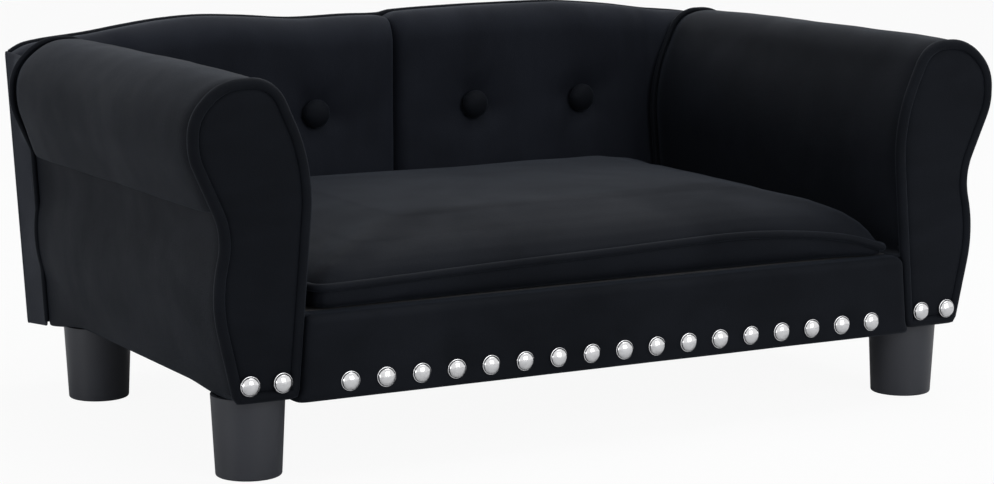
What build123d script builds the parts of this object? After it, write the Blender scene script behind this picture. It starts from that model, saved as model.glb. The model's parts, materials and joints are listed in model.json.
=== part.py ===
from build123d import *
import math
import os

# A small upholstered dog sofa. Its front faces -Y, +X is its right as seen from the front,
# and the floor is at zero height. All sizes are in millimetres.

# Overall form
body_depth = 422.0
arm_reach = 350.3
arm_gap = 508.0
arm_top_z = 291.5
cloth_low_z = 60.0
back_peak_z = 301.5
back_seam_drop = 5.0
back_corner_drop = 24.5

# Shared stock
cloth = 2.0
ease = 0.3
frame_board = 12.0
batten_width = 20.0

# Rail across the front
rail_height = 63.0
rail_low_z = 57.0
rail_board = 15.0
rail_wadding = 2.4
rail_edge_round = 7.0
rail_end_gap = 3.6
rail_board_length = 508.0

# Underside and seat deck
dust_cover = 1.5
timber_height = 49.5
deck_board = 8.0
deck_lining = 1.0
deck_ledge = 13.0

# Arms
arm_setback = 3.0
facing_pad = 4.7
facing_edge_round = 2.0
front_welt_radius = 3.5
rear_welt_radius = 2.8
roll_low_z = 198.0
side_low_z = 66.0
side_step = 1.2
base_timber_width = 40.0
base_timber_x = 290.0
inner_board = 9.0
outer_board = 4.0
arm_panel_top_z = 236.0
top_rail_width = 32.0
top_rail_height = 20.0
arm_depth = 365.0

# Back
back_front_y = 375.0
back_pad_round = 24.0
back_pad_edge_round = 13.0
back_low_x = 325.3
back_high_x = 338.5
back_hem_z = 50.0
back_peak_x = 165.0
back_shoulder_x = 322.0
back_shoulder_drop = 16.5
post_width = 26.0
post_height = 150.0
top_welt_radius = 2.6

# Covered buttons
button_radius = 12.5
button_dome = 7.5
button_z = 215.5
button_near_x = 77.0
button_far_x = 186.0
dimple_depth = 6.0
dimple_radius = 40.0
tie_radius = 1.2

# Seat cushion
cushion_width = 498.0
cushion_depth = 354.0
cushion_front_y = 10.5
cushion_boxing = 20.5
cushion_crown = 35.5
cushion_corner = 30.0
cushion_draw_in = 4.0
cushion_base_round = 8.0
cushion_base_margin = 10.0
cushion_welt_radius = 3.2
cushion_welt_bite = 1.2
zip_length = 300.0
zip_width = 8.0
zip_thickness = 1.2
zip_z_share = 0.45

# Domed nails
nail_head_radius = 6.6
nail_head_rise = 4.0
nail_shank_radius = 1.2
nail_length = 13.0
rail_nail_count = 17
rail_nail_pitch = 28.8
rail_nail_z = 70.2
arm_nail_x = (282.1, 307.6)
arm_nail_z = 73.5

# Feet
foot_height = 60.0
foot_low_radius = 24.2
foot_high_radius = 27.2
foot_wall = 3.0
foot_floor = 3.5
foot_edge_round = 1.5
foot_boss_radius = 9.0
foot_rib = 2.5
foot_x = 292.5
foot_front_y = 41.8
foot_pitch_y = 300.0
bolt_radius = 4.0
bolt_head_radius = 7.5
bolt_head = 5.3
bolt_in_foot = 20.0
bolt_length = 41.0
insert_radius = 6.0
insert_length = 18.0

# Outline of an arm seen from the front, as shares of its width and height from its inner
# bottom corner, with the share of the shorter neighbouring side that each rounding takes
arm_outline_shares = (
    (0.150, 0.000, 0.17),
    (0.670, 0.000, 0.17),
    (0.848, 0.330, 0.58),
    (0.737, 0.522, 0.38),
    (1.000, 0.765, 0.34),
    (1.000, 0.892, 0.50),
    (0.742, 1.000, 0.48),
    (0.305, 1.000, 0.45),
    (0.000, 0.720, 0.50),
)

# Rise of the cushion's crown, as shares of the crown and of half the cushion's depth
crown_shares = ((0.0, 0.0), (0.30, 0.05), (0.60, 0.145), (0.81, 0.31), (0.94, 0.53), (1.0, 0.78))

os.makedirs("parts", exist_ok=True)

# Places worked out from the sizes above
front_y = -(body_depth - nail_head_rise) / 2
rear_y = front_y + body_depth
arm_width = arm_reach - arm_gap / 2
arm_height = arm_top_z - cloth_low_z
frame_low_z = foot_height + dust_cover
timber_top_z = frame_low_z + timber_height
deck_top_z = timber_top_z + deck_board + deck_lining
arm_front_y = front_y + arm_setback
arm_rear_y = arm_front_y + arm_depth
arm_board_y = arm_front_y + facing_pad + ease
arm_frame_front_y = arm_board_y + frame_board
arm_frame_rear_y = arm_rear_y - frame_board + rear_welt_radius
arm_joint_y = arm_frame_rear_y + frame_board
cover_inset = side_step + cloth
board_inset = cover_inset + 2 * cloth
base_inner_x = base_timber_x - base_timber_width / 2
base_outer_x = base_timber_x + base_timber_width / 2
inner_board_x = base_inner_x + deck_ledge
top_rail_x = inner_board_x + inner_board
post_x = top_rail_x
pad_front_y = front_y + back_front_y
back_cover_y = rear_y - cloth
back_board_rear_y = back_cover_y - ease
back_board_y = back_board_rear_y - frame_board
back_high_z = back_peak_z - back_corner_drop
rail_rear_y = front_y + cloth + ease + rail_wadding + ease + rail_board
cushion_low_z = deck_top_z + ease
cushion_seam_z = cushion_low_z + cushion_boxing
reach = 2 * arm_reach


def slab(profile, near_y, far_y):
    """Push a profile drawn in X and Z from near_y to far_y."""
    return extrude(Plane.XZ.offset(-far_y) * profile, amount=far_y - near_y)


def block(low_x, high_x, near_y, far_y, low_z, high_z):
    """A plain board or timber between three pairs of faces."""
    size = (high_x - low_x, far_y - near_y, high_z - low_z)
    middle = ((low_x + high_x) / 2, (near_y + far_y) / 2, (low_z + high_z) / 2)
    return Pos(*middle) * Box(*size)


def window(low_x, high_x, low_z, high_z):
    """A flat rectangle in X and Z, used to trim profiles."""
    return Pos((low_x + high_x) / 2, (low_z + high_z) / 2) * Rectangle(high_x - low_x, high_z - low_z)


def rounded_outline(points, shares):
    """A closed outline whose corners are arcs sized by the sides that they join."""
    count = len(points)
    starts, ends, middles = [], [], []
    for i in range(count):
        corner = Vector(*points[i])
        before = Vector(*points[i - 1]) - corner
        after = Vector(*points[(i + 1) % count]) - corner
        reach_back = shares[i] * min(before.length, after.length)
        start = corner + before.normalized() * reach_back
        end = corner + after.normalized() * reach_back
        half_turn = math.radians(180 - before.get_angle(after)) / 2
        radius = reach_back / math.tan(half_turn)
        inward = (before.normalized() + after.normalized()).normalized()
        middle = corner + inward * (radius / math.cos(half_turn) - radius)
        starts.append(start)
        ends.append(end)
        middles.append(middle)
    edges = []
    for i in range(count):
        edges.append(ThreePointArc(starts[i], middles[i], ends[i]))
        edges.append(Line(ends[i], starts[(i + 1) % count]))
    return make_face(Wire([edge.edge() for edge in edges]))


def arm_profile(inset):
    """Outline of the right arm in X and Z, drawn in by inset."""
    points = [
        (arm_gap / 2 + across * arm_width, cloth_low_z + up * arm_height)
        for across, up, rounding in arm_outline_shares
    ]
    outline = rounded_outline(points, [rounding for across, up, rounding in arm_outline_shares])
    if inset:
        outline = offset(outline, amount=-inset)
    return outline


def crown_edges(drop, end_x):
    """Top line of the back's right half: a low dip at the seam, a peak and a falling shoulder."""
    seam = Vector(0, back_peak_z - back_seam_drop - drop)
    peak = Vector(back_peak_x, back_peak_z - drop)
    shoulder = Vector(back_shoulder_x - drop, back_peak_z - back_shoulder_drop - drop)
    corner = Vector(end_x, back_high_z - drop)
    inner = TangentArc(peak, seam, tangent=(-1, 0))
    outer = TangentArc(peak, shoulder, tangent=(1, 0))
    return inner, outer, Line(shoulder, corner)


def back_profile(inset, low_z):
    """Outline of the back's right half in X and Z, drawn in by inset."""
    inner, outer, fall = crown_edges(inset, back_high_x - inset)
    slant = (back_high_x - back_low_x) / (back_high_z - back_hem_z)
    low_x = back_low_x + slant * (low_z - back_hem_z) - inset
    corner = fall @ 1
    side = Line(corner, Vector(low_x, low_z))
    base = Line(Vector(low_x, low_z), Vector(0, low_z))
    middle = Line(Vector(0, low_z), inner @ 1)
    return make_face(Wire([edge.edge() for edge in (inner, outer, fall, side, base, middle)]))


def tube(path, radius):
    """Round piping along a path in a plane that faces the front."""
    section = Plane(origin=path @ 0, z_dir=path % 0) * Circle(radius)
    return sweep(section, path=path)


def ring(profile, middle_y, radius):
    """Round piping around a closed profile in X and Z."""
    path = (Plane.XZ.offset(-middle_y) * profile).face().outer_wire()
    return tube(path, radius)


def domed_head(radius, rise):
    """A round head with its flat side at zero height and its dome below it."""
    cap_radius = (radius**2 + rise**2) / (2 * rise)
    ball = Pos(0, 0, cap_radius - rise) * Sphere(cap_radius)
    return ball & Pos(0, 0, -rise) * Cylinder(radius, rise, align=(Align.CENTER, Align.CENTER, Align.MIN))


def facing_front(shape, x, y, z):
    """Stand a shape that was drawn upright so that its underside faces the front."""
    return Pos(x, y, z) * Rot(-90, 0, 0) * shape


def pin(x, near_y, far_y, z, radius):
    """A round shank along Y."""
    upright = Cylinder(radius, far_y - near_y, align=(Align.CENTER, Align.CENTER, Align.MIN))
    return facing_front(upright, x, near_y, z)


def both_sides(name, shape):
    """Keep the right-hand piece and its mirror image for the left."""
    pieces[name + "_right"] = shape
    pieces[name + "_left"] = mirror(shape, about=Plane.YZ)


pieces = {}


def make_nails():
    """Domed nails along the rail and at the foot of each arm, with their shanks."""
    rail_places = [(i - (rail_nail_count - 1) / 2) * rail_nail_pitch for i in range(rail_nail_count)]
    arm_places = [side * x for side in (-1, 1) for x in arm_nail_x]
    groups = {}
    shanks = {}
    for name, places, y, z in (
        ("rail_nails", rail_places, front_y, rail_nail_z),
        ("arm_nails", arm_places, arm_front_y, arm_nail_z),
    ):
        heads = [facing_front(domed_head(nail_head_radius, nail_head_rise), x, y, z) for x in places]
        shanks[name] = [pin(x, y, y + nail_length, z, nail_shank_radius) for x in places]
        groups[name] = [head + shank for head, shank in zip(heads, shanks[name])]
    return groups, shanks


def make_feet():
    """Four tapered moulded feet, the bolts moulded into them and the inserts they screw into."""
    outside = make_face(
        Polyline(
            (0, 0),
            (foot_low_radius, 0),
            (foot_high_radius, foot_height),
            (0, foot_height),
            close=True,
        )
    )
    lower_rim = outside.vertices().sort_by(Axis.Y)[:2].sort_by(Axis.X)[-1]
    outside = fillet(lower_rim, foot_edge_round)
    cavity = make_face(
        Polyline(
            (0, foot_floor),
            (foot_low_radius - foot_wall, foot_floor),
            (foot_high_radius - foot_wall, foot_height),
            (0, foot_height),
            close=True,
        )
    )
    shell = revolve(Plane.XZ * outside, Axis.Z) - revolve(Plane.XZ * cavity, Axis.Z)
    low = (Align.CENTER, Align.CENTER, Align.MIN)
    hollow_height = foot_height - foot_floor
    boss = Pos(0, 0, foot_floor) * Cylinder(foot_boss_radius, hollow_height, align=low)
    rib_span = 2 * foot_low_radius - foot_wall
    ribs = Pos(0, 0, foot_floor) * Box(rib_span, foot_rib, hollow_height / 2, align=low)
    ribs += Pos(0, 0, foot_floor) * Box(foot_rib, rib_span, hollow_height / 2, align=low)
    bolt_low_z = foot_height - bolt_in_foot
    head = extrude(RegularPolygon(bolt_head_radius, 6), amount=bolt_head)
    bolt = Pos(0, 0, bolt_low_z) * (head + Cylinder(bolt_radius, bolt_length, align=low))
    foot = shell + boss + ribs - bolt
    sleeve = Cylinder(insert_radius, insert_length, align=low)
    sleeve -= Cylinder(bolt_radius, insert_length, align=low)
    bore = Cylinder(insert_radius, insert_length, align=low)
    bore += Cylinder(bolt_radius, bolt_length - bolt_in_foot, align=low)
    bolts, inserts, bores = [], [], []
    for side, side_x in (("left", -foot_x), ("right", foot_x)):
        for end, end_y in (("front", foot_front_y), ("rear", foot_front_y + foot_pitch_y)):
            place = Pos(side_x, front_y + end_y, 0)
            pieces[f"foot_{end}_{side}"] = place * foot
            bolts.append(place * bolt)
            inserts.append(place * Pos(0, 0, frame_low_z) * sleeve)
            bores.append(place * Pos(0, 0, frame_low_z) * bore)
    pieces["foot_bolts"] = bolts
    pieces["foot_inserts"] = inserts
    sheet = block(
        -base_outer_x, base_outer_x, rail_rear_y + ease, back_board_y, foot_height, frame_low_z - ease
    )
    for bolt_solid in bolts:
        sheet -= bolt_solid
    pieces["dust_cover"] = sheet
    return bores


def make_base(bores):
    """Timbers under the arms, the rails that join them and the seat deck on top."""
    timber = block(
        base_inner_x, base_outer_x, arm_frame_front_y, arm_frame_rear_y, frame_low_z, timber_top_z
    )
    for bore in bores:
        if bore.center().X > 0:
            timber -= bore
    both_sides("base_timber", timber)
    board_half = rail_board_length / 2
    pieces["rail_board"] = block(
        -board_half, board_half, rail_rear_y - rail_board, rail_rear_y, frame_low_z,
        rail_low_z + rail_height - cloth - 2 * ease
    )
    pieces["deck_batten"] = block(
        -base_inner_x, base_inner_x, rail_rear_y, rail_rear_y + batten_width, frame_low_z, timber_top_z
    )
    pieces["back_timber"] = block(
        -base_outer_x, base_outer_x, arm_joint_y, back_board_y, frame_low_z, timber_top_z
    )
    deck_half = inner_board_x - ease
    tongue_half = base_inner_x - ease
    deck_front_y = rail_rear_y + ease
    deck_rear_y = pad_front_y - ease
    board_top_z = timber_top_z + deck_board
    deck = block(-deck_half, deck_half, deck_front_y, arm_frame_rear_y - ease, timber_top_z, board_top_z)
    deck += block(-tongue_half, tongue_half, deck_front_y, deck_rear_y, timber_top_z, board_top_z)
    pieces["seat_deck"] = deck
    lining_half = arm_gap / 2
    pieces["deck_lining"] = block(
        -lining_half, lining_half, deck_front_y, deck_rear_y, board_top_z, deck_top_z
    )


def make_rail(shanks):
    """The front rail's wrapped cover and its wadding, ended just short of the arms."""
    rail_top_z = rail_low_z + rail_height
    outer = block(-arm_reach, arm_reach, front_y, rail_rear_y, rail_low_z, rail_top_z)
    front_edges = outer.edges().filter_by(Axis.X).sort_by(Axis.Y)[:2]
    outer = fillet(front_edges, rail_edge_round)
    inner = block(
        -arm_reach, arm_reach, front_y + cloth, rail_rear_y, rail_low_z + cloth, rail_top_z - cloth
    )
    inner_edges = inner.edges().filter_by(Axis.X).sort_by(Axis.Y)[:2]
    cover = outer - fillet(inner_edges, rail_edge_round - cloth)
    arm_side = slab(offset(arm_profile(0), amount=rail_end_gap), front_y - ease, rail_rear_y + ease)
    cover = cover - arm_side - mirror(arm_side, about=Plane.YZ)
    beyond = block(arm_gap / 2 + arm_width / 2, reach, front_y - ease, rail_rear_y, 0, reach)
    cover = cover - beyond - mirror(beyond, about=Plane.YZ)
    board_half = rail_board_length / 2
    wadding_y = front_y + cloth + ease
    wadding = block(
        -board_half, board_half, wadding_y, wadding_y + rail_wadding, rail_low_z + rail_edge_round,
        rail_top_z - rail_edge_round
    )
    for shank in shanks["rail_nails"]:
        cover -= shank
        wadding -= shank
        pieces["rail_board"] -= shank
    pieces["rail_cover"] = cover
    pieces["rail_wadding"] = wadding


def make_arm(shanks):
    """One upholstered scroll arm: boards, foam, cloth, facing and piping."""
    mid_x = inner_board_x + inner_board
    front_board = slab(arm_profile(board_inset), arm_board_y, arm_frame_front_y)
    rear_board = slab(arm_profile(board_inset), arm_frame_rear_y, arm_joint_y)
    facing = slab(arm_profile(2 * front_welt_radius + ease), arm_front_y, arm_front_y + facing_pad)
    facing = fillet(facing.faces().sort_by(Axis.Y)[0].edges(), facing_edge_round)
    for shank in shanks["arm_nails"]:
        if shank.center().X > 0:
            facing -= shank
            front_board -= shank
    both_sides("arm_front_board", front_board)
    both_sides("arm_rear_board", rear_board)
    both_sides("arm_facing", facing)

    both_sides("arm_inner_board", block(
        inner_board_x, mid_x, arm_frame_front_y, arm_frame_rear_y, timber_top_z, arm_panel_top_z
    ))
    both_sides("arm_top_rail", block(
        top_rail_x, top_rail_x + top_rail_width, arm_frame_front_y, arm_frame_rear_y,
        arm_panel_top_z - top_rail_height, arm_panel_top_z
    ))
    outer_face = arm_profile(board_inset) - arm_profile(board_inset + outer_board)
    outer_face = outer_face & window(base_outer_x + ease, reach, side_low_z, roll_low_z - cloth)
    both_sides("arm_outer_board", slab(outer_face, arm_frame_front_y, arm_frame_rear_y))

    core = window(inner_board_x - ease, top_rail_x + top_rail_width + ease, 0, arm_panel_top_z + ease)
    under_roll = window(mid_x, reach, 0, roll_low_z)
    under_deck = window(0, mid_x, 0, deck_top_z + ease)
    padding = arm_profile(cover_inset + ease) - core - under_roll - under_deck
    both_sides("arm_foam", slab(padding, arm_frame_front_y + ease, arm_frame_rear_y - ease))

    front_pipe = ring(arm_profile(front_welt_radius), arm_front_y + front_welt_radius, front_welt_radius)
    rear_pipe = ring(arm_profile(rear_welt_radius), arm_joint_y, rear_welt_radius)
    rear_pipe -= block(0, reach, arm_rear_y - rear_welt_radius, pad_front_y, 0, side_low_z)
    rear_pipe -= block(0, mid_x, arm_rear_y - rear_welt_radius, pad_front_y, 0, deck_top_z + ease)
    both_sides("arm_front_welt", front_pipe)
    both_sides("arm_rear_welt", rear_pipe)

    roll = arm_profile(side_step) - arm_profile(cover_inset) - under_roll - under_deck
    roll_cover = slab(roll, arm_front_y + front_welt_radius, arm_rear_y)
    both_sides("arm_cover", roll_cover - front_pipe - rear_pipe)
    side = arm_profile(side_step + cloth) - arm_profile(board_inset - ease)
    side = side & window(base_outer_x + ease, reach, side_low_z, roll_low_z - ease)
    side_cover = slab(side, arm_front_y + front_welt_radius, arm_rear_y)
    both_sides("arm_side_panel", side_cover - front_pipe - rear_pipe)


def back_pad(inset, rear):
    """Right half of the padded back: crowned top, rounded edges and button dimples."""
    pad = slab(back_profile(inset, timber_top_z + ease), pad_front_y + inset, rear)
    pad -= block(-reach, inset / 2 + ease / 2, pad_front_y - reach, rear_y, 0, reach)
    front = pad.faces().sort_by(Axis.Y)[0]
    uprights = front.edges().filter_by(Axis.Z)
    crown = [edge for edge in front.edges() if edge.center().Z > back_high_z - back_pad_round]
    crown = [edge for edge in crown if edge not in uprights]
    pad = fillet(crown, back_pad_round - inset)
    front = pad.faces().sort_by(Axis.Y)[0]
    seam_edge = front.edges().filter_by(Axis.Z).sort_by(Axis.X)[0]
    pad = fillet(seam_edge, back_pad_edge_round - inset)
    for x in (button_near_x, button_far_x):
        ball_y = pad_front_y + dimple_depth - dimple_radius
        pad -= Pos(x, ball_y, button_z) * Sphere(dimple_radius + inset)
    return pad


def make_back():
    """The crowned back: board, posts, foam, padded panels, end strips, piping and outer cover."""
    post_top_z = timber_top_z + post_height
    post = block(post_x, post_x + post_width, arm_joint_y, back_board_y, timber_top_z, post_top_z)
    post_room = block(
        post_x - ease, post_x + post_width + ease, arm_rear_y, back_board_y + ease, 0, post_top_z + ease
    )
    ties = [
        pin(side * x, pad_front_y + dimple_depth / 2, back_board_y + frame_board / 2, button_z, tie_radius)
        for side in (-1, 1)
        for x in (button_near_x, button_far_x)
    ]
    right_ties = ties[2:]
    panel_rear = back_board_rear_y - 2 * top_welt_radius - ease
    shell = back_pad(cloth, rear_y)
    panel = back_pad(0, panel_rear) - shell - post_room
    edge_room = back_profile(0, back_hem_z) - back_profile(cloth + ease, back_hem_z)
    edge_room = edge_room & window(back_low_x - 2 * cloth, reach, 0, back_high_z - cloth)
    panel -= slab(edge_room, pad_front_y - ease, rear_y)
    panel -= slab(back_profile(2 * cloth, 0), back_board_y - ease, rear_y)
    foam = back_pad(cloth + ease, back_board_y - ease) - post_room
    for tie in right_ties:
        panel -= tie
        foam -= tie
    both_sides("back_panel", panel)
    both_sides("back_foam", foam)
    both_sides("back_post", post)

    strip = back_profile(0, back_hem_z) - back_profile(cloth, back_hem_z)
    strip = strip & window(back_low_x - 2 * cloth, reach, back_hem_z, back_high_z - cloth - ease)
    both_sides("back_end_strip", slab(strip, pad_front_y, back_cover_y - ease))

    half_board = back_profile(2 * top_welt_radius + ease, frame_low_z)
    board = slab(half_board + mirror(half_board, about=Plane.YZ), back_board_y, back_board_rear_y)
    for tie in ties:
        board -= tie
    pieces["back_board"] = board
    half_cover = back_profile(0, back_hem_z)
    pieces["back_outside_cover"] = slab(
        half_cover + mirror(half_cover, about=Plane.YZ), back_cover_y, rear_y
    )

    inner, outer, fall = crown_edges(top_welt_radius, back_high_x - top_welt_radius)
    path = Wire([edge.edge() for edge in (inner, outer)])
    path = Plane.XZ.offset(-(back_board_rear_y - top_welt_radius)) * path
    right_welt = tube(path, top_welt_radius)
    pieces["back_top_welt"] = [right_welt, mirror(right_welt, about=Plane.YZ)]

    buttons = []
    for side in (-1, 1):
        for x in (button_near_x, button_far_x):
            head = domed_head(button_radius, button_dome)
            buttons.append(facing_front(head, side * x, pad_front_y + dimple_depth / 2, button_z))
    pieces["back_buttons"] = buttons
    pieces["button_ties"] = ties


def cushion_plan(inset, corner):
    """Plan of the cushion: sides drawn in between rounded corners."""
    half_x = cushion_width / 2 - inset
    half_y = cushion_depth / 2 - inset
    draw = cushion_draw_in
    sides = []
    corners = [(-half_x, -half_y), (half_x, -half_y), (half_x, half_y), (-half_x, half_y)]
    pulls = [(0, -half_y + draw), (half_x - draw, 0), (0, half_y - draw), (-half_x + draw, 0)]
    for i in range(4):
        sides.append(ThreePointArc(corners[i], pulls[i], corners[(i + 1) % 4]))
    face = make_face(Wire([side.edge() for side in sides]))
    face = fillet(face.vertices(), corner)
    middle_y = front_y + cushion_front_y + cushion_depth / 2
    return Pos(0, middle_y, 0) * face


def cushion_form(inset):
    """The filled cushion: straight boxing below the seam and a crown that swells above it."""
    plan = cushion_plan(inset, cushion_corner - inset)
    low_z = cushion_low_z + inset
    boxing = extrude(Pos(0, 0, low_z) * plan, amount=cushion_seam_z - low_z)
    boxing = fillet(boxing.faces().sort_by(Axis.Z)[0].edges(), cushion_base_round - inset)
    sections = []
    for rise, run in crown_shares:
        draw_in = inset + run * (cushion_depth / 2 - inset)
        section = cushion_plan(draw_in, cushion_corner - inset)
        sections.append(Pos(0, 0, cushion_seam_z + rise * (cushion_crown - inset)) * section)
    return boxing + loft(sections)


def make_cushion():
    """The loose seat cushion: sewn cover, piping, zip, base panel and foam core."""
    opening = cushion_plan(cushion_base_margin, cushion_corner)
    base = extrude(Pos(0, 0, cushion_low_z) * opening, amount=cloth)
    cover = cushion_form(0) - cushion_form(cloth) - base
    seam = cushion_plan(cushion_welt_bite - ease - cushion_welt_radius, cushion_corner)
    path = (Pos(0, 0, cushion_seam_z) * seam).face().outer_wire()
    welt = tube(path, cushion_welt_radius)
    groove_low_z = cushion_seam_z - cushion_welt_radius
    groove = cushion_plan(-cushion_welt_radius, cushion_corner)
    groove -= cushion_plan(cushion_welt_bite, cushion_corner)
    groove = extrude(Pos(0, 0, groove_low_z) * groove, amount=2 * cushion_welt_radius)
    zip_z = cushion_low_z + zip_z_share * cushion_boxing
    band = cushion_plan(0, cushion_corner) - cushion_plan(zip_thickness, cushion_corner)
    middle_y = front_y + cushion_front_y + cushion_depth / 2
    zip_room = block(-zip_length / 2, zip_length / 2, middle_y, rear_y, zip_z, zip_z + zip_width)
    closing = extrude(Pos(0, 0, zip_z) * band, amount=zip_width) & zip_room
    pieces["cushion_cover"] = cover - groove - closing
    pieces["cushion_base_panel"] = base
    pieces["cushion_core"] = cushion_form(cloth + ease)
    pieces["cushion_welt"] = welt
    pieces["cushion_zip"] = closing


def save(name, shape):
    """Write one named piece, or a group of like pieces, to its own file."""
    solids = []
    for item in shape if isinstance(shape, list) else [shape]:
        solids.extend(item.solids())
    whole = solids[0] if len(solids) == 1 else Compound(children=solids)
    whole.label = name
    export_step(whole, f"parts/{name}.step")


nails, shanks = make_nails()
pieces.update(nails)
bores = make_feet()
make_base(bores)
make_rail(shanks)
make_arm(shanks)
make_back()
make_cushion()
for name, shape in pieces.items():
    save(name, shape)
print(len(pieces), "pieces written")
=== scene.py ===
import bpy
import bmesh
import json
import math
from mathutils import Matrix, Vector, noise
from mathutils.bvhtree import BVHTree


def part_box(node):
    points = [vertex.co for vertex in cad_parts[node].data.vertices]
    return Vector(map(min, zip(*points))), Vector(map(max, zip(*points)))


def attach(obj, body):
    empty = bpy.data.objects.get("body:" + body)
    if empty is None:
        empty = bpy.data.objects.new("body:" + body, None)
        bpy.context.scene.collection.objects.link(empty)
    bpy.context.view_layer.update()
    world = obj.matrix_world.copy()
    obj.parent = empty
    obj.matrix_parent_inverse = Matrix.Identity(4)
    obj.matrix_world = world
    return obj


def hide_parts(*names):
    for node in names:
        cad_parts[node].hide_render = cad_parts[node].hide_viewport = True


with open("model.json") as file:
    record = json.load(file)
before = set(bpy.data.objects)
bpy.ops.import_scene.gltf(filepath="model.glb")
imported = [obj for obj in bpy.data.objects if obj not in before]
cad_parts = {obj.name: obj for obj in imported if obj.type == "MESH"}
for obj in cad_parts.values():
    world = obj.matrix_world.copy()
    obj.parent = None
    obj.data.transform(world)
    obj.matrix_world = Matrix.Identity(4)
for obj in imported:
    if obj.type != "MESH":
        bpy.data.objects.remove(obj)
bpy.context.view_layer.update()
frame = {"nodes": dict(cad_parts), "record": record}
scene = bpy.context.scene
mm = 0.001  # everything below is drawn in millimetres and scaled once
print("frame loaded,", len(frame["nodes"]), "nodes")


def boxOf(node):
    low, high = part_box(node)
    return [c / mm for c in low], [c / mm for c in high]


# Nodes, all made in one way

class Wire:
    # a socket that can be used in plain sums
    def __init__(self, maker, socket):
        self.maker = maker
        self.socket = socket

    def sum(self, operation, first, second):
        return self.maker.node("ShaderNodeMath", {"operation": operation}, {0: first, 1: second})

    def __add__(self, other):
        return self.sum("ADD", self, other)

    def __radd__(self, other):
        return self.sum("ADD", other, self)

    def __sub__(self, other):
        return self.sum("SUBTRACT", self, other)

    def __rsub__(self, other):
        return self.sum("SUBTRACT", other, self)

    def __mul__(self, other):
        return self.sum("MULTIPLY", self, other)


class Maker:
    def __init__(self, tree):
        self.tree = tree
        tree.nodes.clear()

    # a node's settings come first, then its sockets' values or links
    def node(self, kind, settings=None, sockets=None, output=0):
        made = self.tree.nodes.new(kind)
        for key, value in (settings or {}).items():
            setattr(made, key, value)
        for key, value in (sockets or {}).items():
            wires = value if isinstance(value, list) else [value]
            if isinstance(wires[0], Wire):
                for wire in wires:
                    self.tree.links.new(wire.socket, made.inputs[key])
            else:
                made.inputs[key].default_value = value
        return Wire(self, made.outputs[output]) if len(made.outputs) else None


# Materials

class Recipe(Maker):
    def __init__(self, name):
        self.material = bpy.data.materials.new(name)
        self.material.use_nodes = True
        super().__init__(self.material.node_tree)

    def place(self, stretch=(1, 1, 1)):
        spot = self.node("ShaderNodeTexCoord", output="Object")
        if stretch == (1, 1, 1):
            return spot
        return self.node("ShaderNodeMapping", sockets={"Vector": spot, "Scale": stretch})

    def grain(self, spot, scale, detail, roughness=0.5, distortion=0.0):
        return self.node("ShaderNodeTexNoise", sockets={
            "Vector": spot, "Scale": scale, "Detail": detail, "Roughness": roughness,
            "Distortion": distortion})

    def blend(self, share, first, second):
        return self.node("ShaderNodeMix", {"data_type": "RGBA"}, {0: share, 6: first, 7: second}, output=2)

    def relief(self, height, strength, distance):
        return self.node("ShaderNodeBump", sockets={
            "Height": height, "Strength": strength, "Distance": distance})

    def clamp(self, value, low, high):
        return self.node("ShaderNodeMapRange", {"clamp": True}, {0: value, 1: low, 2: high, 3: 0.0, 4: 1.0})

    def finish(self, colour, roughness, normal, others=None):
        sockets = {"Base Color": colour, "Roughness": roughness, "Normal": normal, **(others or {})}
        return self.output(self.node("ShaderNodeBsdfPrincipled", sockets=sockets))

    def output(self, surface):
        self.node("ShaderNodeOutputMaterial", sockets={"Surface": surface})
        return self.material


velvetSettings = {
    "deep": (0.0022, 0.0025, 0.0036, 1),     # pile lying away from the light
    "raised": (0.0066, 0.0075, 0.0106, 1),   # pile brushed towards it
    "cloudScale": 9.0, "cloudRange": (0.36, 0.66), "cloudPart": 0.45,
    "strokeScale": 34.0, "strokeRange": (0.35, 0.7), "strokePart": 0.25,
    "pileScale": 1500.0, "pilePart": 0.2,
    "roughness": 0.70, "relief": (0.4, 0.0004),
    "sheen": 0.055, "sheenSpread": 0.38, "sheenTint": (0.66, 0.78, 1.0, 1),
    "gloss": 0.09, "glossTint": (0.78, 0.88, 1.0, 1),
}


def velvet(name, lift=0.0, stretch=(1.0, 1.0, 1.0), paintedLightGain=1.0):
    s = velvetSettings
    r = Recipe(name)
    spot = r.place()
    cloud = r.clamp(r.grain(spot, s["cloudScale"], 4.0, 0.55, 0.6), *s["cloudRange"])
    brushed = r.clamp(r.grain(r.place(stretch), s["strokeScale"], 3.0, 0.6), *s["strokeRange"])
    pile = r.grain(spot, s["pileScale"], 2.0, 0.6)
    tuft = r.grain(spot, s["pileScale"] / 4, 3.0, 0.65)
    share = cloud * s["cloudPart"] + brushed * s["strokePart"] + pile * s["pilePart"] + lift
    # a gain above 1 paints light into both colours; only the back uses one
    deep, raised = [tuple(c * paintedLightGain for c in s[key][:3]) + (1,) for key in ("deep", "raised")]
    colour = r.blend(share, deep, raised)
    rough = s["roughness"] - cloud * 0.10 + pile * 0.08
    normal = r.relief(pile + tuft * 0.8 + brushed * 0.15, *s["relief"])
    return r.finish(colour, rough, normal, {
        "Specular IOR Level": s["gloss"], "Specular Tint": s["glossTint"],
        "Sheen Weight": s["sheen"], "Sheen Roughness": s["sheenSpread"], "Sheen Tint": s["sheenTint"]})


nailFinish = {"colour": (0.72, 0.72, 0.73, 1), "dull": (0.50, 0.50, 0.52, 1), "gloss": 0.09,
              "scuffScale": 240.0}
boltFinish = {"colour": (0.52, 0.52, 0.54, 1), "dull": (0.40, 0.40, 0.41, 1), "gloss": 0.30,
              "scuffScale": 90.0}


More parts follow.
